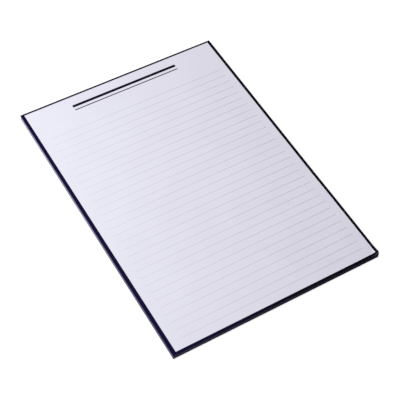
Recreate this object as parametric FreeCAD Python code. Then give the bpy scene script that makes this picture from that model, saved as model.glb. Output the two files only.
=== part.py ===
import FreeCAD, Part

import math
import os

# A ruled writing pad, lying on its backing board. Millimetres.
# +X runs across the sheet, +Y towards the head, where the sheets are glued, and +Z up.
# The origin is under the middle of the pad, on the surface that the pad lies on.

# The sheets: 80 g/m2 writing paper, cut flush on all four sides
SHEET_WIDTH = 210.0
SHEET_LENGTH = 297.0
SHEET_THICKNESS = 0.103
SHEET_COUNT = 50

# The greyboard under the sheets
BOARD_THICKNESS = 1.0

# The skin of padding glue brushed on the head, which holds sheets and board together
GLUE_THICKNESS = 0.4
GLUE_RIM_RADIUS = 0.25

# The lifted corner at the foot, on the right: where its crease meets the two edges,
# measured from the corner of the sheet
CREASE_ALONG_FOOT = 9.5
CREASE_ALONG_SIDE = 12.5

# The sheets that curled up together there, and the few under them that followed less.
# A radius is that of the underside of the lowest sheet of its group.
CURLED_SHEETS = 10
CURLED_RADIUS = 9.8
LOOSE_SHEETS = 3
LOOSE_RADIUS = 26.0
LOOSE_SETBACK = 0.6  # how much nearer to the corner the loose sheets start to rise

# Each slit between two groups starts with this opening, and widens from there
SLIT_ROOT = 0.05

HALF_WIDTH = SHEET_WIDTH / 2
PAD_LENGTH = SHEET_LENGTH + GLUE_THICKNESS
FOOT_Y = -PAD_LENGTH / 2
HEAD_Y = FOOT_Y + SHEET_LENGTH
BLOCK_THICKNESS = SHEET_COUNT * SHEET_THICKNESS
PAD_THICKNESS = BOARD_THICKNESS + BLOCK_THICKNESS

# The crease's own directions: along it, from the foot edge to the side edge, and
# square to it, towards the corner
CREASE_LENGTH = math.hypot(CREASE_ALONG_FOOT, CREASE_ALONG_SIDE)
CORNER = FreeCAD.Vector(HALF_WIDTH, FOOT_Y, 0)
ALONG = FreeCAD.Vector(CREASE_ALONG_FOOT, CREASE_ALONG_SIDE, 0) / CREASE_LENGTH
OUTWARD = FreeCAD.Vector(CREASE_ALONG_SIDE, -CREASE_ALONG_FOOT, 0) / CREASE_LENGTH
CREASE_TO_CORNER = CREASE_ALONG_FOOT * CREASE_ALONG_SIDE / CREASE_LENGTH


def at_crease(setback, outward, along, height):
    """The point at these distances from the foot of the corner's perpendicular on a crease
    that lies setback nearer to the corner than the main one."""
    foot = CORNER - OUTWARD * (CREASE_TO_CORNER - setback)
    return foot + OUTWARD * outward + ALONG * along + FreeCAD.Vector(0, 0, height)


def level_run(radius, travelled):
    """The level distance that a sheet covers while it travels this far round its arc."""
    return radius * math.sin(travelled / radius)


def slit_start(radius):
    """How far past its crease a sheet of this radius has risen by the slit's root."""
    return radius * math.acos(1 - SLIT_ROOT / radius)


def curled_point(setback, radius, travelled, along, height):
    """Where a point ends up that lay this far past the crease while its sheet was flat."""
    rise = radius * (1 - math.cos(travelled / radius))
    return at_crease(setback, level_run(radius, travelled), along, height + rise)


def leaf_profile(setback, radius, thickness, bottom):
    """The section of a curled group, square to its crease: flat, then an arc upwards.
    Its underside stays flat up to the slit's root and takes a small step up to its arc."""
    far = -(SHEET_WIDTH + SHEET_LENGTH)  # well outside the sheet, along and across the crease
    root = slit_start(radius)
    end = CREASE_TO_CORNER - setback + thickness  # a little past the corner, to be cut there

    def under(travelled):
        return curled_point(setback, radius, travelled, far, bottom)

    def over(travelled):
        return curled_point(setback, radius - thickness, travelled, far, bottom + thickness)

    far_under = at_crease(setback, far, far, bottom)
    far_over = at_crease(setback, far, far, bottom + thickness)
    root_under = at_crease(setback, level_run(radius, root), far, bottom)
    edges = [
        Part.makeLine(far_under, root_under),
        Part.makeLine(root_under, under(root)),
        Part.Arc(under(root), under((root + end) / 2), under(end)).toShape(),
        Part.makeLine(under(end), over(end)),
        Part.Arc(over(end), over(end / 2), over(0)).toShape(),
        Part.makeLine(over(0), far_over),
        Part.makeLine(far_over, far_under),
    ]
    return Part.Face(Part.Wire(edges))


def arc_leaving(start, heading, end):
    """An arc that leaves its start along the unit vector heading, and ends at end."""
    chord = end - start
    half_turn = heading.getAngle(chord)
    bulge = heading - chord * (heading.dot(chord) / chord.dot(chord))
    bulge.normalize()
    middle = start + chord / 2 + bulge * (chord.Length / 2 * math.tan(half_turn / 2))
    return Part.Arc(start, middle, end).toShape()


def leaf_outline(setback, radius):
    """The outline of a curled group seen from above, as a face on the ground. Its two edges
    leave the sheet's edges at the crease, and draw in as the corner rises."""
    travel = CREASE_TO_CORNER - setback
    share = travel / CREASE_TO_CORNER
    foot_start = CORNER - FreeCAD.Vector(CREASE_ALONG_FOOT * share, 0, 0)
    side_start = CORNER + FreeCAD.Vector(0, CREASE_ALONG_SIDE * share, 0)
    tip = at_crease(setback, level_run(radius, travel), 0, 0)
    head_right = FreeCAD.Vector(HALF_WIDTH, HEAD_Y, 0)
    head_left = FreeCAD.Vector(-HALF_WIDTH, HEAD_Y, 0)
    foot_left = FreeCAD.Vector(-HALF_WIDTH, FOOT_Y, 0)
    edges = [
        Part.makeLine(foot_left, foot_start),
        arc_leaving(foot_start, FreeCAD.Vector(1, 0, 0), tip),
        arc_leaving(side_start, FreeCAD.Vector(0, -1, 0), tip),
        Part.makeLine(side_start, head_right),
        Part.makeLine(head_right, head_left),
        Part.makeLine(head_left, foot_left),
    ]
    return Part.Face(Part.Wire(edges))


def curled_leaves(setback, radius, count, bottom):
    """A group of sheets that lie flat and curl up together past the crease."""
    thickness = count * SHEET_THICKNESS
    profile = leaf_profile(setback, radius, thickness, bottom)
    bent = profile.extrude(ALONG * 2 * (SHEET_WIDTH + SHEET_LENGTH))
    upright = leaf_outline(setback, radius - thickness / 2)
    column = upright.extrude(FreeCAD.Vector(0, 0, PAD_THICKNESS + CREASE_TO_CORNER))
    return bent.common(column)


def page_block():
    """All the sheets as one solid, with the lifted corner and its two slits."""
    curled_bottom = PAD_THICKNESS - CURLED_SHEETS * SHEET_THICKNESS
    loose_bottom = curled_bottom - LOOSE_SHEETS * SHEET_THICKNESS
    flat = Part.makeBox(
        SHEET_WIDTH,
        SHEET_LENGTH,
        loose_bottom - BOARD_THICKNESS,
        FreeCAD.Vector(-HALF_WIDTH, FOOT_Y, BOARD_THICKNESS),
    )
    loose_setback = level_run(CURLED_RADIUS, slit_start(CURLED_RADIUS)) + LOOSE_SETBACK
    loose = curled_leaves(loose_setback, LOOSE_RADIUS, LOOSE_SHEETS, loose_bottom)
    curled = curled_leaves(0, CURLED_RADIUS, CURLED_SHEETS, curled_bottom)
    return flat.fuse([loose, curled]).removeSplitter()


def backing_board():
    """The greyboard sheet, cut flush with the paper."""
    corner = FreeCAD.Vector(-HALF_WIDTH, FOOT_Y, 0)
    return Part.makeBox(SHEET_WIDTH, SHEET_LENGTH, BOARD_THICKNESS, corner)


def padding_glue():
    """The skin of dried glue on the head edge, with its outer rim rounded all round."""
    corner = FreeCAD.Vector(-HALF_WIDTH, HEAD_Y, 0)
    skin = Part.makeBox(SHEET_WIDTH, GLUE_THICKNESS, PAD_THICKNESS, corner)
    rim = [e for e in skin.Edges if abs(e.BoundBox.YMin - (HEAD_Y + GLUE_THICKNESS)) < 1e-6]
    return skin.makeFillet(min(GLUE_RIM_RADIUS, 0.9 * GLUE_THICKNESS), rim)


def main():
    os.makedirs("parts", exist_ok=True)
    for make in (page_block, backing_board, padding_glue):
        shape = make()
        solid = shape.Solids[0] if len(shape.Solids) == 1 else shape
        solid.exportStep(f"parts/{make.__name__}.step")
        print(make.__name__, len(shape.Solids), "solid,", round(shape.Volume, 1), "mm3")


main()
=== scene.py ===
import math

import bpy
import numpy as np
from mathutils import Matrix, Vector


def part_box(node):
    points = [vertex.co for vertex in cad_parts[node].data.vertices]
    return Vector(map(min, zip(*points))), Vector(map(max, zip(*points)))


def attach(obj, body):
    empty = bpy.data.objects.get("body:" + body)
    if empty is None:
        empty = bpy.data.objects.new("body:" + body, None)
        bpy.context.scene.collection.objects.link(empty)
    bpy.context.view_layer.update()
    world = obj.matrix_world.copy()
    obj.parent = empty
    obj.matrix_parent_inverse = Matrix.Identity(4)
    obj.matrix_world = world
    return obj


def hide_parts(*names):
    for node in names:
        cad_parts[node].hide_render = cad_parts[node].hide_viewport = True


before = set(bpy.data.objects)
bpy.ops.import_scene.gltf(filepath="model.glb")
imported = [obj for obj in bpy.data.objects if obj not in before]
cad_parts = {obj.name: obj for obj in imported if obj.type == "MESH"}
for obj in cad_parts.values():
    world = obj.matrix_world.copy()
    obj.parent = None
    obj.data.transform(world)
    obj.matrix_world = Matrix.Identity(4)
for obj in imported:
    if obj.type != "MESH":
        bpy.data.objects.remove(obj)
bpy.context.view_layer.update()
MM = 0.001

# The backing board: one sheet of recycled greyboard under the paper. It is pressed together
# from plies and cut by the same knife as the sheets, which leaves its rim a little crushed.
board_low, board_high = (np.array(corner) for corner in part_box("backing_board"))
board_corner_radius = 0.35 * MM
board_rim = [  # height from the underside to the top face, and how far the rim stands back there
    (0.00, 0.110),
    (0.06, 0.045),
    (0.20, 0.010),
    (0.32, 0.000),
    (0.35, 0.022),
    (0.38, 0.004),
    (0.60, 0.000),
    (0.66, 0.004),
    (0.69, 0.022),
    (0.72, 0.002),
    (0.84, 0.012),
    (0.95, 0.040),
    (1.00, 0.080),
]
board_grey = (0.270, 0.258, 0.232, 1)
board_dark_fleck = (0.130, 0.124, 0.115, 1)
board_light_fleck = (0.560, 0.545, 0.505, 1)
# The navy that the board's rim is darkened towards: ink dragged by the knife, together with painted shade
dragged_ink_and_shade = (0.020, 0.017, 0.035, 1)


def rectangle_path(low, high, corner_radius, step):
    """Points round an upright rectangle, anticlockwise from its near left corner: on each side
    an even stretch and then a quarter circle. Gives places, outward directions and sides."""
    places, outward, sides = [], [], []
    low, high = np.array(low[:2]), np.array(high[:2])
    for side in range(4):
        turn = np.radians(90 * side)
        along = np.array([np.cos(turn), np.sin(turn)]).round()
        out = np.array([along[1], -along[0]])
        middle = (low + high) / 2
        half = (high - low) / 2 - corner_radius
        reach = abs(along @ half)
        travelled = np.linspace(-reach, reach, int(2 * reach / step) + 2)
        edge = middle + out * (abs(out @ half) + corner_radius)
        places.append(edge + travelled[:, None] * along)
        outward.append(np.repeat(out[None], len(travelled), axis=0))
        bend = np.radians([18, 36, 54, 72])[:, None]
        arc = out * np.cos(bend) + along * np.sin(bend)
        places.append(middle + out * abs(out @ half) + along * reach + corner_radius * arc)
        outward.append(arc)
        sides.append(np.full(len(travelled) + len(bend), side))
    return np.concatenate(places), np.concatenate(outward), np.concatenate(sides)


def into_span(values, low, high):
    """Values moved and stretched so that they run from low to high."""
    values = np.asarray(values, float)
    return low + (high - low) * (values - values.min()) / np.ptp(values)


def mesh_piece(name, points, faces, materials, face_material, bake_map, flat_place=None):
    """A mesh at its place, with a material number for each face and a texture place for each
    face corner. flat_place says where each point lies on its own sheet while that is flat."""
    mesh = bpy.data.meshes.new(name)
    mesh.from_pydata(points.tolist(), [], [face.tolist() for face in faces])
    for material in materials:
        mesh.materials.append(material)
    mesh.polygons.foreach_set("material_index", np.asarray(face_material, np.int32))
    mesh.polygons.foreach_set("use_smooth", np.ones(len(mesh.polygons), bool))
    mesh.set_sharp_from_angle(angle=math.radians(30))
    uv_layer = mesh.uv_layers.new(name="OFBake")
    uv_layer.uv.foreach_set("vector", np.asarray(bake_map, np.float32).ravel())
    if flat_place is not None:
        attribute = mesh.attributes.new("sheet_place", "FLOAT_VECTOR", "POINT")
        attribute.data.foreach_set("vector", np.asarray(flat_place, np.float32).ravel())
    mesh.update()
    piece = bpy.data.objects.new(name, mesh)
    bpy.context.scene.collection.objects.link(piece)
    return piece


def slab_piece(name, path, heights, outset, materials, side_share, lower_share):
    """A slab: its outline, moved outwards by outset at each height, is carried round the path,
    and a flat face closes it below and above. materials are those of side, underside and top.
    In the bake map the four sides are strips above one another, over the two flat faces."""
    places, outward, sides = path
    rows, columns = outset.shape
    level = places[None] + outward[None] * outset[..., None]
    upright = np.repeat(heights[:, None, None], columns, axis=1)
    points = np.concatenate([level, upright], axis=-1).reshape(-1, 3)
    row, column = np.divmod(np.arange((rows - 1) * columns), columns)
    after = (column + 1) % columns
    low, high = row * columns, (row + 1) * columns
    walls = np.stack([low + column, low + after, high + after, high + column], axis=-1)
    underside = np.arange(columns)[::-1]
    top = (rows - 1) * columns + np.arange(columns)

    steps = np.hypot(*(np.roll(places, -1, axis=0) - places).T)
    travelled = np.concatenate([[0], np.cumsum(steps)])
    side_start = travelled[[np.argmax(sides == side) for side in range(4)]]
    longest = np.diff(np.append(side_start, travelled[-1])).max()
    side = sides[column][:, None]
    ends = np.stack([column, column + 1, column + 1, column], axis=-1)
    levels = np.stack([row, row, row + 1, row + 1], axis=-1) / (rows - 1)
    u = 0.002 + 0.996 * (travelled[ends] - side_start[side]) / longest
    v = 1 - side_share + side_share * (side + 0.02 + 0.94 * levels) / 4
    wall_map = np.stack([u, v], axis=-1).reshape(-1, 2)
    flat_v = into_span(places[:, 1], 0.002, 0.996 - side_share)
    lower_map = np.stack([into_span(places[:, 0], 0.002, lower_share - 0.004), flat_v], axis=-1)
    upper_map = np.stack([into_span(places[:, 0], lower_share, 0.998), flat_v], axis=-1)
    return mesh_piece(
        name,
        points,
        [*walls, underside, top],
        materials,
        np.concatenate([np.zeros(len(walls)), [1, 2]]),
        np.concatenate([wall_map, lower_map[underside], upper_map]),
        points * (1, 1, 0),
    )


def wire(tree, kind, inputs=None, **settings):
    """A new node of this kind. Each input is given by name or number, as a value or a socket."""
    node = tree.nodes.new(kind)
    for setting, value in settings.items():
        setattr(node, setting, value)
    for name, value in (inputs or {}).items():
        if isinstance(value, bpy.types.NodeSocket):
            tree.links.new(value, node.inputs[name])
        else:
            node.inputs[name].default_value = value
    return node


def maths(tree, operation, *values):
    """The result of one step of arithmetic on sockets or numbers."""
    return wire(tree, "ShaderNodeMath", dict(enumerate(values)), operation=operation).outputs[0]


def mixed(tree, share, first, second, blend_type="MIX"):
    """The colour that goes from first to second as share goes from 0 to 1."""
    inputs = {0: share, 6: first, 7: second}
    node = wire(tree, "ShaderNodeMix", data_type="RGBA", blend_type=blend_type)
    for number, value in inputs.items():
        if isinstance(value, bpy.types.NodeSocket):
            tree.links.new(value, node.inputs[number])
        else:
            node.inputs[number].default_value = value
    return node.outputs[2]


def ramp(tree, value, low, high):
    """0 up to low, 1 from high on, and a soft step between them."""
    inputs = {"Value": value, "From Min": low, "From Max": high}
    return wire(tree, "ShaderNodeMapRange", inputs, interpolation_type="SMOOTHSTEP").outputs[0]


def spread(tree, value, low, high):
    """A value that runs from 0 to 1, moved to run from low to high."""
    inputs = {"Value": value, "To Min": low, "To Max": high}
    return wire(tree, "ShaderNodeMapRange", inputs).outputs[0]


def noise(tree, place, scale, detail=2.0):
    """Smooth noise about 0.5, with this many waves a metre."""
    inputs = {"Vector": place, "Scale": scale, "Detail": detail}
    return wire(tree, "ShaderNodeTexNoise", inputs).outputs["Fac"]


def stretched(tree, place, scale, turn=0.0):
    """A place for a pattern, turned about Z and scaled along the three axes."""
    inputs = {"Vector": place, "Rotation": (0, 0, math.radians(turn)), "Scale": scale}
    return wire(tree, "ShaderNodeMapping", inputs).outputs[0]


def finish(name, roughness, specular):
    """A new material with its shader, whose roughness and gloss are the same all over."""
    material = bpy.data.materials.new(name)
    material.use_nodes = True
    shader = material.node_tree.nodes["Principled BSDF"]
    shader.inputs["Roughness"].default_value = roughness
    shader.inputs["Specular IOR Level"].default_value = specular
    return material, material.node_tree, shader


def roughened(tree, shader, height, distance, strength):
    """Gives the shader a bump from a height that runs from 0 to 1 over this distance."""
    inputs = {"Height": height, "Distance": distance, "Strength": strength}
    tree.links.new(wire(tree, "ShaderNodeBump", inputs).outputs[0], shader.inputs["Normal"])


# Pressed fibres show in greyboard and in paper alike, each at its own scale
fibre_group = bpy.data.node_groups.new("Pressed Fibres", "ShaderNodeTree")
for socket_name in ("Clouds a Metre", "Fibres a Metre"):
    fibre_group.interface.new_socket(socket_name, in_out="INPUT", socket_type="NodeSocketFloat")
for socket_name in ("Clouds", "Dark Fibres", "Light Fibres", "Height"):
    fibre_group.interface.new_socket(socket_name, in_out="OUTPUT", socket_type="NodeSocketFloat")
given = wire(fibre_group, "NodeGroupInput").outputs
result = wire(fibre_group, "NodeGroupOutput").inputs
place = wire(fibre_group, "ShaderNodeTexCoord").outputs["Object"]
clouds = noise(fibre_group, place, given["Clouds a Metre"], 3.0)
one_way = noise(fibre_group, stretched(fibre_group, place, (0.3, 1, 1)), given["Fibres a Metre"], 3.0)
other_way = noise(fibre_group, stretched(fibre_group, place, (0.3, 1, 1), 70), given["Fibres a Metre"], 3.0)
fibre_group.links.new(clouds, result["Clouds"])
fibre_group.links.new(ramp(fibre_group, one_way, 0.58, 0.68), result["Dark Fibres"])
fibre_group.links.new(ramp(fibre_group, other_way, 0.58, 0.68), result["Light Fibres"])
fibre_group.links.new(maths(fibre_group, "ADD", one_way, other_way), result["Height"])


def fibres(tree, clouds_a_metre, fibres_a_metre):
    """The outputs of the fibre group, placed in a material with these two scales."""
    node = wire(tree, "ShaderNodeGroup", node_tree=fibre_group)
    node.inputs["Clouds a Metre"].default_value = clouds_a_metre
    node.inputs["Fibres a Metre"].default_value = fibres_a_metre
    return node.outputs


def greyboard_finish(name, ink_and_shade_left, ink_and_shade_right):
    """Recycled pulp: grey, clouded, with dark and light fibres pressed in, and darkened towards navy by
    these shares at the left and at the right side of the board: partly ink dragged by the knife, partly
    painted shade, which deepens to the right and is weaker on the left side, which faces the lamp."""
    material, tree, shader = finish(name, 0.88, 0.25)
    pulp = fibres(tree, 90, 800)
    tone = mixed(tree, spread(tree, pulp["Dark Fibres"], 0, 0.55), board_grey, board_dark_fleck)
    tone = mixed(tree, spread(tree, pulp["Light Fibres"], 0, 0.45), tone, board_light_fleck)
    clouded = mixed(tree, ramp(tree, pulp["Clouds"], 0.3, 0.7), (0.84, 0.84, 0.85, 1), (1, 1, 1, 1))
    tone = mixed(tree, 1.0, tone, clouded, "MULTIPLY")
    if ink_and_shade_right > 0:
        place = wire(tree, "ShaderNodeTexCoord").outputs["Object"]
        across = wire(tree, "ShaderNodeSeparateXYZ", {0: place}).outputs["X"]
        # Painted shade with the dragged ink: the rim darkens towards the right, and less on the left side,
        # which faces the lamp
        rim_ink_and_shade = spread(tree, ramp(tree, across, board_low[0], board_high[0]), ink_and_shade_left, ink_and_shade_right)
        off_side = ramp(tree, across, board_low[0] + 0.2 * MM, board_low[0] + 3 * MM)
        rim_ink_and_shade = maths(tree, "MULTIPLY", rim_ink_and_shade, spread(tree, off_side, 0.55, 1.0))
        tone = mixed(tree, rim_ink_and_shade, tone, dragged_ink_and_shade)
    tree.links.new(tone, shader.inputs["Base Color"])
    roughened(tree, shader, pulp["Height"], 0.06 * MM, 0.5)
    return material


greyboard = greyboard_finish("recycled_greyboard", 0, 0)
inked_and_shaded_rim = greyboard_finish("inked_and_painted_shade_board_rim", 0.75, 0.95)
board_path = rectangle_path(board_low, board_high, board_corner_radius, 5 * MM)
rim_height, rim_setback = np.array(board_rim).T
board_height = board_low[2] + rim_height * (board_high[2] - board_low[2])
crush = 0.5 + 0.5 * np.sin(board_path[0] @ np.array([310.0, 410.0]))  # uneven along the rim
board_outset = -rim_setback[:, None] * MM * (0.75 + 0.5 * crush[None])
board_piece = slab_piece(
    "greyboard_back",
    board_path,
    board_height,
    board_outset,
    [inked_and_shaded_rim, greyboard, greyboard],
    side_share=0.16,
    lower_share=0.85,
)
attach(board_piece, "root")
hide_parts("backing_board")

# The flat sheets: the lower thirty-seven of fifty leaves of writing paper, lying on the board.
# One cut trimmed them all, so only hair-fine steps and grooves tell one edge from the next,
# and the knife dragged ink from the printed borders over the cut edges.
sheet_low, sheet_high = (np.array(corner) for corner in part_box("page_block"))
pad_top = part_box("padding_glue")[1][2]
sheet_thickness = 0.103 * MM
sheet_count = 50
curled_count = 10
loose_count = 3
flat_count = sheet_count - curled_count - loose_count
edge_shoulder = 0.018 * MM  # how much of a sheet's edge is rounded off above and below
edge_groove = 0.028 * MM
edge_step = 0.012 * MM  # how far the sheets lie off one another
paper_white = (0.805, 0.797, 0.890, 1)
navy_ink = (0.0040, 0.0030, 0.0340, 1)
navy_ink_in_painted_shade = (0.0015, 0.0010, 0.0080, 1)  # the border painted darker towards the right, as painted shade where the ink shows less sheen
rule_ink = (0.270, 0.265, 0.300, 1)
rule_strength_left, rule_strength_right = 0.37, 0.92
print_lean = 0.0014  # how far the print's sides lean from the cut sides, as a slope
left_border, right_border, head_border, foot_border = (w * MM for w in (3.35, 2.85, 1.80, 2.30))
rule_pitch = 8.455 * MM
lowest_rule = -137.2 * MM
highest_rule = 108.0 * MM
rules_left, rules_right = -93 * MM, 95 * MM
rule_width = 0.30 * MM
heading_left, heading_right = -55.9 * MM, 57.6 * MM
heading_middle = 132.7 * MM
heading_height = 7.0 * MM
heading_thick = 3.0 * MM
heading_thin = 1.1 * MM
edge_white = (0.52, 0.50, 0.68, 1)
edge_inked = (0.080, 0.070, 0.135, 1)
clean_and_lit_up_left = (0.22, 0.82)  # share of clean paper in the left side's cut edges, foot to head: dragged ink, with painted light towards the head
clean_and_lit_across = (0.52, 0.06)  # the same in the other sides, left to right: dragged ink, with painted shade towards the right
soak_depth = 2.6 * MM  # how far down the cut sides the border's ink has soaked
crease_along_foot = 9.5 * MM
crease_along_side = 12.5 * MM
crease_length = math.hypot(crease_along_foot, crease_along_side)
crease_to_corner = crease_along_foot * crease_along_side / crease_length
crease_outward = np.array([crease_along_side, -crease_along_foot]) / crease_length
curling_corner = np.array([sheet_high[0], sheet_low[1]])

# Each sheet's edge has its own tone and a groove to the next, on the cut sides and, faintly,
# through the glue at the head. On the cut sides the groove is painted darker, as painted shade.
layer_group = bpy.data.node_groups.new("Sheet Layers", "ShaderNodeTree")
layer_group.interface.new_socket("Along the Edge", in_out="OUTPUT", socket_type="NodeSocketFloat")
layer_group.interface.new_socket("Sheet Tone", in_out="OUTPUT", socket_type="NodeSocketFloat")
layer_group.interface.new_socket("Groove", in_out="OUTPUT", socket_type="NodeSocketFloat")
result = wire(layer_group, "NodeGroupOutput").inputs
place = wire(layer_group, "ShaderNodeTexCoord").outputs["Object"]
height = wire(layer_group, "ShaderNodeSeparateXYZ", {0: place}).outputs["Z"]
layer = maths(layer_group, "DIVIDE", maths(layer_group, "SUBTRACT", height, board_high[2]), sheet_thickness)
sheet_tone = wire(layer_group, "ShaderNodeTexWhiteNoise", noise_dimensions="1D")
layer_group.links.new(maths(layer_group, "FLOOR", layer), sheet_tone.inputs["W"])
from_groove = maths(layer_group, "PINGPONG", layer, 0.5)
layer_group.links.new(sheet_tone.outputs["Value"], result["Sheet Tone"])
off_groove = ramp(layer_group, from_groove, 0.04, 0.2)
layer_group.links.new(maths(layer_group, "SUBTRACT", 1.0, off_groove), result["Groove"])
along_edge = noise(layer_group, stretched(layer_group, place, (1, 1, 60)), 220)
layer_group.links.new(along_edge, result["Along the Edge"])


def cut_edge_finish():
    """Cut paper edges: pale, tinted navy by dragged ink. Over the ink, light and shade are painted: on the
    left side the edges are lighter towards the head, on the other sides lighter towards the left and darker
    to the right, the lifted sheets' edges are painted whiter as a highlight, and the grooves between sheets
    are painted darker as shade."""
    material, tree, shader = finish("cut_edges", 0.85, 0.1)
    layers = wire(tree, "ShaderNodeGroup", node_tree=layer_group).outputs
    place = wire(tree, "ShaderNodeTexCoord").outputs["Object"]
    across, along, height = wire(tree, "ShaderNodeSeparateXYZ", {0: place}).outputs
    # Painted light and shade over the dragged ink: the left side lighter towards the head, the other sides
    # lighter towards the left and darker to the right
    off_left = ramp(tree, across, sheet_low[0], sheet_low[0] + 2 * MM)
    clean_and_lit_left = spread(tree, ramp(tree, along, sheet_low[1], sheet_high[1]), *clean_and_lit_up_left)
    clean_and_lit_right = spread(tree, ramp(tree, across, sheet_low[0], sheet_high[0]), *clean_and_lit_across)
    clean_and_lit = wire(tree, "ShaderNodeMix", {0: off_left, 2: clean_and_lit_left, 3: clean_and_lit_right}).outputs[0]
    flat = wire(tree, "ShaderNodeAttribute", attribute_name="sheet_place").outputs["Vector"]
    rise = wire(tree, "ShaderNodeSeparateXYZ", {0: flat}).outputs["Z"]
    offset = crease_to_corner - curling_corner @ crease_outward
    past_crease = maths(
        tree,
        "ADD",
        maths(tree, "MULTIPLY", across, crease_outward[0]),
        maths(tree, "MULTIPLY_ADD", along, crease_outward[1], offset),
    )
    risen = ramp(tree, rise, 0.12 * MM, 0.5 * MM)
    lifted_part = maths(tree, "MULTIPLY", risen, ramp(tree, past_crease, 0, 2 * MM))
    # Painted highlight: the lifted sheets' edges are painted whiter for the light they catch
    clean_and_lit = maths(tree, "ADD", clean_and_lit, maths(tree, "MULTIPLY", lifted_part, 0.8))
    drag = maths(tree, "ADD", maths(tree, "MULTIPLY", layers["Sheet Tone"], 0.35), layers["Along the Edge"])
    clean_and_lit = maths(tree, "ADD", clean_and_lit, maths(tree, "MULTIPLY", maths(tree, "SUBTRACT", drag, 0.675), 0.4))
    tone = mixed(tree, clean_and_lit, edge_inked, edge_white)
    soaked = ramp(tree, height, pad_top - soak_depth, pad_top - 0.3 * MM)
    soaked = maths(tree, "MULTIPLY", soaked, maths(tree, "SUBTRACT", 1.0, lifted_part))
    tone = mixed(tree, maths(tree, "MULTIPLY", soaked, 0.95), tone, navy_ink)
    # Painted shade in the grooves between the sheets
    tone = mixed(tree, maths(tree, "MULTIPLY", layers["Groove"], 0.35), tone, navy_ink)
    tree.links.new(tone, shader.inputs["Base Color"])
    return material


def band(tree, value, low, high, soft):
    """1 where value lies from low to high, 0 outside, with a soft step at both."""
    above = ramp(tree, value, low - soft, low + soft)
    below = ramp(tree, value, high - soft, high + soft)
    return maths(tree, "SUBTRACT", above, below)


def printed_finish():
    """Writing paper with its print, laid out on the sheet's own flat places: a navy border off
    all four edges, thirty fine rules and, as the heading, one thick and one thin rule."""
    material, tree, shader = finish("printed_paper", 0.75, 0.08)
    pulp = fibres(tree, 34, 1500)
    mottle = mixed(tree, ramp(tree, pulp["Clouds"], 0.25, 0.75), (0.975, 0.975, 0.975, 1), (1, 1, 1, 1))
    specks = mixed(tree, spread(tree, pulp["Dark Fibres"], 0, 0.05), paper_white, (0.5, 0.5, 0.6, 1))
    paper = mixed(tree, 1.0, specks, mottle, "MULTIPLY")
    flat = wire(tree, "ShaderNodeAttribute", attribute_name="sheet_place").outputs["Vector"]
    ragged = spread(tree, noise(tree, flat, 2500), -0.05 * MM, 0.05 * MM)
    across, along, _ = wire(tree, "ShaderNodeSeparateXYZ", {0: flat}).outputs
    across = maths(tree, "MULTIPLY_ADD", along, print_lean, maths(tree, "ADD", across, ragged))
    along = maths(tree, "ADD", along, ragged)
    soft = 0.05 * MM

    off_rule = maths(tree, "PINGPONG", maths(tree, "SUBTRACT", along, lowest_rule), rule_pitch / 2)
    rules = maths(tree, "SUBTRACT", 1.0, ramp(tree, off_rule, rule_width / 2 - soft, rule_width / 2 + soft))
    ruled = maths(
        tree,
        "MULTIPLY",
        band(tree, across, rules_left, rules_right, 0.3 * MM),
        band(tree, along, lowest_rule - 1 * MM, highest_rule + 1 * MM, soft),
    )
    rules = maths(tree, "MULTIPLY", rules, ruled)
    inputs = {
        "Value": across,
        "From Min": rules_left,
        "From Max": rules_right,
        "To Min": rule_strength_left,
        "To Max": rule_strength_right,
    }
    rules = maths(tree, "MULTIPLY", rules, wire(tree, "ShaderNodeMapRange", inputs).outputs[0])
    paper = mixed(tree, rules, paper, rule_ink)

    thick_top = heading_middle + heading_height / 2
    thin_low = heading_middle - heading_height / 2
    thick = band(tree, along, thick_top - heading_thick, thick_top, soft)
    thin = band(tree, along, thin_low, thin_low + heading_thin, soft)
    heading = maths(
        tree,
        "MULTIPLY",
        band(tree, across, heading_left, heading_right, soft),
        maths(tree, "ADD", thick, thin),
    )
    inside = maths(
        tree,
        "MULTIPLY",
        band(tree, across, sheet_low[0] + left_border, sheet_high[0] - right_border, soft),
        band(tree, along, sheet_low[1] + foot_border, sheet_high[1] - head_border, soft),
    )
    navy = maths(tree, "MAXIMUM", heading, maths(tree, "SUBTRACT", 1.0, inside))
    # Painted sheen and shade: the border and heading go from navy_ink at the left to a darker navy at the
    # right
    ink = mixed(tree, ramp(tree, across, 1.2 * sheet_low[0], 0.4 * sheet_high[0]), navy_ink, navy_ink_in_painted_shade)
    tree.links.new(mixed(tree, navy, paper, ink), shader.inputs["Base Color"])
    roughened(tree, shader, pulp["Height"], 0.012 * MM, 0.35)
    return material


def bare_paper_finish():
    """The unprinted back of a sheet."""
    material, tree, shader = finish("bare_paper", 0.8, 0.2)
    pulp = fibres(tree, 34, 1500)
    tone = mixed(tree, spread(tree, pulp["Dark Fibres"], 0, 0.05), paper_white, (0.5, 0.5, 0.6, 1))
    tree.links.new(tone, shader.inputs["Base Color"])
    roughened(tree, shader, pulp["Height"], 0.012 * MM, 0.35)
    return material


cut_edges = cut_edge_finish()
printed_paper = printed_finish()
bare_paper = bare_paper_finish()
random = np.random.default_rng(50)
flat_path = rectangle_path(sheet_low, sheet_high, 0.08 * MM, 6 * MM)
sheet_bottom = board_high[2] + sheet_thickness * np.arange(flat_count)
edge_rows = np.array([0, edge_shoulder, sheet_thickness - edge_shoulder])
flat_height = np.append((sheet_bottom[:, None] + edge_rows).ravel(), sheet_bottom[-1] + sheet_thickness)
slip = random.normal(0, edge_step, (flat_count, 2))
slip_out = np.minimum(slip @ flat_path[1].T - edge_step, 0)
edge_back = np.repeat(slip_out, 3, axis=0)
edge_back[::3] -= edge_groove
flat_outset = np.concatenate([edge_back, edge_back[-1:] - edge_groove])
flat_sheets = slab_piece(
    "flat_sheets",
    flat_path,
    flat_height,
    flat_outset,
    [cut_edges, bare_paper, printed_paper],
    side_share=0.8,
    lower_share=0.1,
)
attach(flat_sheets, "root")
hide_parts("page_block")

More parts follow.
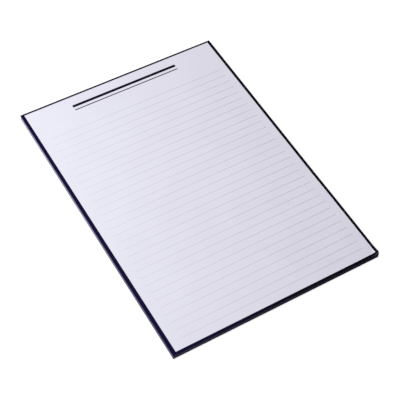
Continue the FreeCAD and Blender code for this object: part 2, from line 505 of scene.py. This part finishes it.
# The lifted sheets: three that follow a little, and nine of the ten that curled up with the
# top sheet at its foot corner on the right. Each bends round its own arc past one crease, so
# they fan at the tip, where the slits between them open.
loose_radius = 26 * MM
loose_setback = 1.58 * MM
top_radius = 9.1 * MM
curled_fan = 3.0 * MM  # how much wider than the top sheet's the lowest curled sheet's bend is
loose_tightening = 0.38  # how much tighter each loose sheet bends than the one below it
top_bow = 0.65 * MM  # how far the top sheet's right edge bows up behind the curl
bow_width = 42 * MM
bow_foot_end = (-4 * MM, 14 * MM)  # between these distances from the foot the bow comes up
bow_head_end = (55 * MM, 115 * MM)  # and between these it goes down again


def bulge(flat):
    """How far the right edge bows up behind the curled corner, as a share of its most: a soft
    step up towards the right edge, times a soft hill along that edge."""

    def soft_step(value, low, high):
        share = np.clip((value - low) / (high - low), 0, 1)
        return share * share * (3 - 2 * share)

    from_foot = flat[..., 1] - sheet_low[1]
    hill = soft_step(from_foot, *bow_foot_end) * (1 - soft_step(from_foot, *bow_head_end))
    return hill * soft_step(flat[..., 0], sheet_high[0] - bow_width, sheet_high[0])


def curled(flat, above_middle, middle_height, radius, setback):
    """Where points of a sheet end up. A point that lies past the crease travels its distance
    from the crease along a circle that leaves the flat sheet upwards: its level way is radius
    times the sine of the angle, its rise is radius less radius times the cosine. above_middle
    is the point's distance from the sheet's middle layer, taken square to the bent sheet."""
    from_corner = flat - curling_corner
    past = np.maximum(from_corner @ crease_outward + crease_to_corner - setback, 0)
    angle = past / radius
    level = radius * np.sin(angle) - past - above_middle * np.sin(angle)
    rise = radius * (1 - np.cos(angle)) + above_middle * np.cos(angle)
    moved = flat + level[..., None] * crease_outward
    return np.concatenate([moved, (middle_height + rise)[..., None]], axis=-1)


def graded(low, high, coarse, fine, fine_length, fine_at_high):
    """Grid lines from low to high: coarse steps, and fine ones over fine_length at one end."""
    split = high - fine_length
    coarse_lines = np.linspace(low, split, int((split - low) / coarse) + 2)
    fine_lines = np.linspace(split, high, int(fine_length / fine) + 2)[1:]
    lines = np.concatenate([coarse_lines, fine_lines])
    return lines if fine_at_high else (low + high - lines)[::-1]


def sheet_mesh(low, high, coarse, fine, place_point):
    """One sheet as a closed shell: a grid above and one below, whose rims stand back by the
    edge's shoulder, and a cut edge of three strips between them. place_point turns flat places
    and distances from the middle layer into points. Gives points, faces, face materials,
    texture places from 0 to 1 for the grid and the edge, and the flat places."""
    x_lines = graded(low[0], high[0], coarse, fine, crease_along_foot + 1.5 * MM, True)
    y_lines = graded(low[1], high[1], coarse, fine, crease_along_side + 1.5 * MM, False)
    rows, columns = len(y_lines), len(x_lines)
    flat = np.stack(np.meshgrid(x_lines, y_lines), axis=-1)
    number = np.arange(rows * columns).reshape(rows, columns)
    loop = np.concatenate([number[0, :-1], number[:-1, -1], number[-1, :0:-1], number[:0:-1, 0]])
    edge_flat = flat.reshape(-1, 2)[loop]
    inner = np.clip(flat, low + edge_shoulder, high - edge_shoulder).reshape(-1, 2)
    half = sheet_thickness / 2
    shoulder = half - edge_shoulder
    layers = [(inner, -half), (inner, half), (edge_flat, -shoulder), (edge_flat, shoulder)]
    points = np.concatenate([place_point(where, np.full(len(where), up)) for where, up in layers])
    flats = np.concatenate([where for where, _ in layers])

    quad = np.stack([number[:-1, :-1], number[:-1, 1:], number[1:, 1:], number[1:, :-1]], axis=-1)
    quad = quad.reshape(-1, 4)
    count, around = rows * columns, len(loop)
    step = np.arange(around)
    rings = np.stack([loop, 2 * count + step, 2 * count + around + step, count + loop])
    after = (step + 1) % around
    strips = [
        np.stack([below[step], below[after], above[after], above[step]], axis=-1)
        for below, above in zip(rings[:-1], rings[1:])
    ]
    faces = np.concatenate([quad + count, quad[:, ::-1], *strips])
    kinds = np.concatenate([np.zeros(len(quad)), np.ones(len(quad)), np.full(3 * around, 2)])

    grid_map = np.stack(np.meshgrid(into_span(x_lines, 0, 1), into_span(y_lines, 0, 1)), axis=-1)
    grid_map = grid_map.reshape(-1, 2)
    edge_map = []
    for strip in range(3):
        ends = np.stack([step, step + 1, step + 1, step], axis=-1) / around
        up = (strip + np.array([0, 0, 1, 1]) + np.zeros_like(ends)) / 3
        edge_map.append(np.stack([ends, up], axis=-1))
    return points, faces, kinds, grid_map, quad, np.concatenate(edge_map), flats


def sheets_piece(name, sheets, grid_box, back_box, edge_box):
    """Sheets joined in one mesh. Each box says where in its cell of the bake map the printed
    face, the back and the edge lie: low u, low v, high u and high v. A point's flat place has
    as its third number how far the point has risen above the lowest point of its sheet."""
    points, faces, kinds, bake_map, flats = [], [], [], [], []
    start = 0
    across = math.ceil(math.sqrt(len(sheets)))
    for number, (new_points, new_faces, new_kinds, grid_map, quad, edge_map, flat) in enumerate(sheets):
        points.append(new_points)
        faces.append(new_faces + start)
        kinds.append(new_kinds)
        rise = new_points[:, 2:] - new_points[:, 2:].min()
        flats.append(np.concatenate([flat, rise], axis=-1))
        start += len(new_points)
        cell = np.array([number % across, number // across]) / across
        placed = [(grid_map[quad], grid_box), (grid_map[quad[:, ::-1]], back_box), (edge_map, edge_box)]
        for places, box in placed:
            low, high = np.array(box[:2]), np.array(box[2:])
            bake_map.append((cell + (low + (high - low) * places) / across).reshape(-1, 2))
    return mesh_piece(
        name,
        np.concatenate(points),
        np.concatenate(faces),
        [printed_paper, bare_paper, cut_edges],
        np.concatenate(kinds),
        np.concatenate(bake_map),
        np.concatenate(flats),
    )


def jogged_outline():
    """The corners of one sheet, each side but the glued one a hair's breadth back."""
    back = random.uniform(0, 2 * edge_step, 3)
    low = np.array([sheet_low[0] + back[0], sheet_low[1] + back[1]])
    high = np.array([sheet_high[0] - back[2], sheet_high[1]])
    return low, high


def lifted_sheet(height, radius, setback, bow):
    """One lifted sheet, whose right edge bows up by this much at most."""

    def place_point(flat, above_middle):
        points = curled(flat, above_middle, height, radius, setback)
        points[..., 2] += bow * bulge(flat)
        return points

    return sheet_mesh(*jogged_outline(), 15 * MM, 0.6 * MM, place_point)


lifted = []
middle_height = sheet_bottom[-1] + 1.5 * sheet_thickness
for number in range(loose_count):
    radius = loose_radius / (1 + loose_tightening * number)
    bow = top_bow * (number + 1) / 6
    lifted.append(lifted_sheet(middle_height, radius, loose_setback, bow))
    middle_height += sheet_thickness
for number in range(curled_count - 1):
    bow = top_bow * (0.7 + 0.3 * number / curled_count)
    below_top = curled_count - 1 - number
    share = (below_top + random.uniform(-0.3, 0.3)) / (curled_count - 1)
    radius = top_radius + below_top * sheet_thickness + curled_fan * share**2
    lifted.append(lifted_sheet(middle_height, radius, 0, bow))
    middle_height += sheet_thickness
lifted_sheets = sheets_piece(
    "lifted_sheets", lifted, (0.01, 0.3, 0.66, 0.99), (0.68, 0.3, 0.99, 0.99), (0.01, 0.02, 0.99, 0.28)
)
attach(lifted_sheets, "root")
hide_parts("page_block")

# The top sheet: the leaf that is written on. It carries the print that shows, lies a little
# wavy because nothing holds it down but the glue at its head, and curls most at the corner.
wave_height = 0.09 * MM
wave_fade = 60 * MM  # how far from the head the waves reach their full height
sheet_wave_directions = random.normal(0, 1, (6, 2)) / (0.055, 0.075)
sheet_wave_phases = random.uniform(0, 2 * np.pi, 6)


def top_sheet_point(flat, above_middle):
    """The curled sheet, raised by the mean of six long waves, each a cosine of the place along
    its own direction. The waves fade out towards the glued head."""
    points = curled(flat, above_middle, middle_height, top_radius, 0)
    points[..., 2] += top_bow * bulge(flat)
    waves = np.cos(flat @ sheet_wave_directions.T + sheet_wave_phases).mean(axis=-1)
    from_head = np.clip((sheet_high[1] - flat[..., 1]) / wave_fade, 0, 1)
    points[..., 2] += wave_height * from_head * (1 + waves) / 2
    return points


top_sheet_low = sheet_low[:2] + edge_step
top_sheet_high = np.array([sheet_high[0] - edge_step, sheet_high[1]])
top_leaf = sheet_mesh(top_sheet_low, top_sheet_high, 3 * MM, 0.4 * MM, top_sheet_point)
bake_side = 1024  # the baked texture's side, in its own small squares
bake_square = rule_pitch / 29  # so that every rule lies on the middle of one row of them
lowest_rule_row = 41.5
low_v = (lowest_rule_row - (lowest_rule - top_sheet_low[1]) / bake_square) / bake_side
high_v = low_v + (top_sheet_high[1] - top_sheet_low[1]) / bake_square / bake_side
top_sheet = sheets_piece(
    "top_sheet",
    [top_leaf],
    (0.002, low_v, 0.93, high_v),
    (0.94, 0.002, 0.965, 0.998),
    (0.97, 0.002, 0.998, 0.998),
)
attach(top_sheet, "root")
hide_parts("page_block")

# The padding glue: a skin of clear glue brushed over the head edge of sheets and board. It is
# dull and thin, has rounded rims and long brush streaks, and looks dark over the inked edges.
glue_low, glue_high = (np.array(corner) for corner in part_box("padding_glue"))
glue_rim_radius = 0.25 * MM
streak_depth = 0.05 * MM
brush_waves = [  # radians a metre along X and along Z, and the angle that each wave starts at
    (23, 5200, 0.4),
    (-31, 8100, 2.0),
    (47, 3100, 4.1),
    (88, -12400, 5.2),
]
glue_light = (0.050, 0.047, 0.072, 1)
glue_dark = (0.018, 0.016, 0.034, 1)


def glue_thickness(x, z):
    """The skin's full thickness, less the brush streaks, which are long waves along X that
    change quickly with height, and less a quarter circle at every rim."""
    streaks = sum(np.cos(x * along + z * up + phase) for along, up, phase in brush_waves)
    full = glue_high[1] - glue_low[1] - streak_depth * (4 - streaks) / 8
    to_rim = np.minimum.reduce([x - glue_low[0], glue_high[0] - x, z - glue_low[2], glue_high[2] - z])
    short = np.clip(glue_rim_radius - to_rim, 0, glue_rim_radius)
    return full - glue_rim_radius + np.sqrt(glue_rim_radius**2 - short**2)


def rounded_lines(low, high, step):
    """Grid lines from low to high, closer together round the rim at both ends."""
    rim = glue_rim_radius * (1 - np.cos(np.radians([0, 18, 36, 54, 72])))
    middle = np.linspace(low + glue_rim_radius, high - glue_rim_radius, int((high - low) / step) + 2)
    return np.concatenate([low + rim, middle, (high - rim)[::-1]])


def glue_finish():
    """Dried padding glue: dull and dark, lighter in streaks, with the sheets' edges faint in it."""
    material, tree, shader = finish("dried_padding_glue", 0.6, 0.2)
    layers = wire(tree, "ShaderNodeGroup", node_tree=layer_group).outputs
    place = wire(tree, "ShaderNodeTexCoord").outputs["Object"]
    streaks = noise(tree, stretched(tree, place, (1, 1, 45)), 60, 4.0)
    tone = mixed(tree, ramp(tree, streaks, 0.3, 0.7), glue_dark, glue_light)
    tone = mixed(tree, maths(tree, "MULTIPLY", layers["Groove"], 0.18), tone, edge_inked)
    tree.links.new(tone, shader.inputs["Base Color"])
    tree.links.new(spread(tree, streaks, 0.45, 0.8), shader.inputs["Roughness"])
    roughened(tree, shader, streaks, 0.05 * MM, 0.4)
    return material


x_lines = rounded_lines(glue_low[0], glue_high[0], 2 * MM)
z_lines = rounded_lines(glue_low[2], glue_high[2], 0.16 * MM)
x_grid, z_grid = np.meshgrid(x_lines, z_lines)
rows, columns = x_grid.shape
outer = np.stack([x_grid, glue_low[1] + glue_thickness(x_grid, z_grid), z_grid], axis=-1).reshape(-1, 3)
number = np.arange(rows * columns).reshape(rows, columns)
outer_faces = np.stack([number[:-1, 1:], number[:-1, :-1], number[1:, :-1], number[1:, 1:]], axis=-1)
outer_faces = outer_faces.reshape(-1, 4)
loop = np.concatenate([number[0, :-1], number[:-1, -1], number[-1, :0:-1], number[:0:-1, 0]])
back = outer[loop] * (1, 0, 1) + (0, glue_low[1], 0)
back_ring = rows * columns + np.arange(len(loop))
after = (np.arange(len(loop)) + 1) % len(loop)
side_faces = np.stack([back_ring, loop, loop[after], back_ring[after]], axis=-1)
grid_map = np.stack([into_span(outer[:, 0], 0.002, 0.998), into_span(outer[:, 2], 0.3, 0.998)], axis=-1)
around = np.arange(len(loop) + 1) / len(loop)
step = np.arange(len(loop))
side_map = np.stack(
    [
        np.stack([around[step], np.full(len(step), 0.16)], axis=-1),
        np.stack([around[step], np.full(len(step), 0.28)], axis=-1),
        np.stack([around[step + 1], np.full(len(step), 0.28)], axis=-1),
        np.stack([around[step + 1], np.full(len(step), 0.16)], axis=-1),
    ],
    axis=1,
)
back_map = np.stack([into_span(back[:, 0], 0.002, 0.998), into_span(back[:, 2], 0.01, 0.14)], axis=-1)
glued_head = mesh_piece(
    "glued_head",
    np.concatenate([outer, back]),
    [*outer_faces, *side_faces, back_ring],
    [glue_finish()],
    np.zeros(len(outer_faces) + len(side_faces) + 1),
    np.concatenate([grid_map[outer_faces].reshape(-1, 2), side_map.reshape(-1, 2), back_map]),
)
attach(glued_head, "root")
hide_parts("padding_glue")

# The floor: a plain pale surface. Towards the camera it shows white, a little darker only
# where the pad keeps the light away, and it sends back little light onto the pad's sides.
floor_reach = 4.0
floor_grey = (0.20, 0.20, 0.205, 1)
floor_glow = 0.93

floor_mesh = bpy.data.meshes.new("floor")
floor_corners = np.array([(-1, -1, 0), (1, -1, 0), (1, 1, 0), (-1, 1, 0)]) * floor_reach
floor_mesh.from_pydata(floor_corners.tolist(), [], [(0, 1, 2, 3)])
floor = bpy.data.objects.new("floor", floor_mesh)
bpy.context.scene.collection.objects.link(floor)
floor_finish, tree, shader = finish("pale_floor", 0.9, 0.1)
shader.inputs["Base Color"].default_value = floor_grey
shader.inputs["Emission Color"].default_value = (1, 1, 1, 1)
ray = wire(tree, "ShaderNodeLightPath").outputs
seen = maths(tree, "MAXIMUM", ray["Is Camera Ray"], ray["Is Glossy Ray"])
seen = maths(tree, "MAXIMUM", seen, ray["Is Transmission Ray"])
tree.links.new(maths(tree, "MULTIPLY", seen, floor_glow), shader.inputs["Emission Strength"])
floor_mesh.materials.append(floor_finish)

# The light: one large soft lamp to the left and a little towards the head, and a faint fill
# from all round
lamp_place = Vector((-0.77, 0.28, 1.10))
lamp_size = 0.7
lamp_power = 21.4
fill_colour = (0.080, 0.076, 0.092, 1)

lamp_data = bpy.data.lights.new("soft_lamp", "AREA")
lamp_data.shape = "SQUARE"
lamp_data.size = lamp_size
lamp_data.energy = lamp_power
lamp = bpy.data.objects.new("soft_lamp", lamp_data)
lamp.location = lamp_place
lamp.rotation_euler = lamp_place.to_track_quat("Z", "Y").to_euler()
bpy.context.scene.collection.objects.link(lamp)

world = bpy.data.worlds.new("studio")
world.use_nodes = True
bpy.context.scene.world = world
tree = world.node_tree
ray = wire(tree, "ShaderNodeLightPath").outputs
backdrop = mixed(tree, ray["Is Camera Ray"], fill_colour, (1, 1, 1, 1))
tree.links.new(backdrop, tree.nodes["Background"].inputs["Color"])

# The camera: high over the foot of the pad, on its left, turned slightly about its own axis
camera_azimuth, camera_elevation, camera_roll = (math.radians(a) for a in (-33.086, 53.688, 3.411))
camera_distance = 1.0414
camera_target = Vector((-2.393, -17.435, 0)) * MM
camera_lens = 101.96

camera_data = bpy.data.cameras.new("camera")
camera_data.sensor_width = 36
camera_data.lens = camera_lens
camera_data.clip_end = 20
camera = bpy.data.objects.new("camera", camera_data)
backwards = Vector(
    (
        math.sin(camera_azimuth) * math.cos(camera_elevation),
        -math.cos(camera_azimuth) * math.cos(camera_elevation),
        math.sin(camera_elevation),
    )
)
rightwards = Vector((0, 0, 1)).cross(backwards).normalized()
upwards = backwards.cross(rightwards)
turn = Matrix.Rotation(camera_roll, 3, backwards)
axes = Matrix((turn @ rightwards, turn @ upwards, backwards)).transposed()
camera.matrix_world = Matrix.LocRotScale(camera_target + backwards * camera_distance, axes, None)
bpy.context.scene.collection.objects.link(camera)
bpy.context.scene.camera = camera
bpy.context.scene.view_settings.view_transform = "Standard"
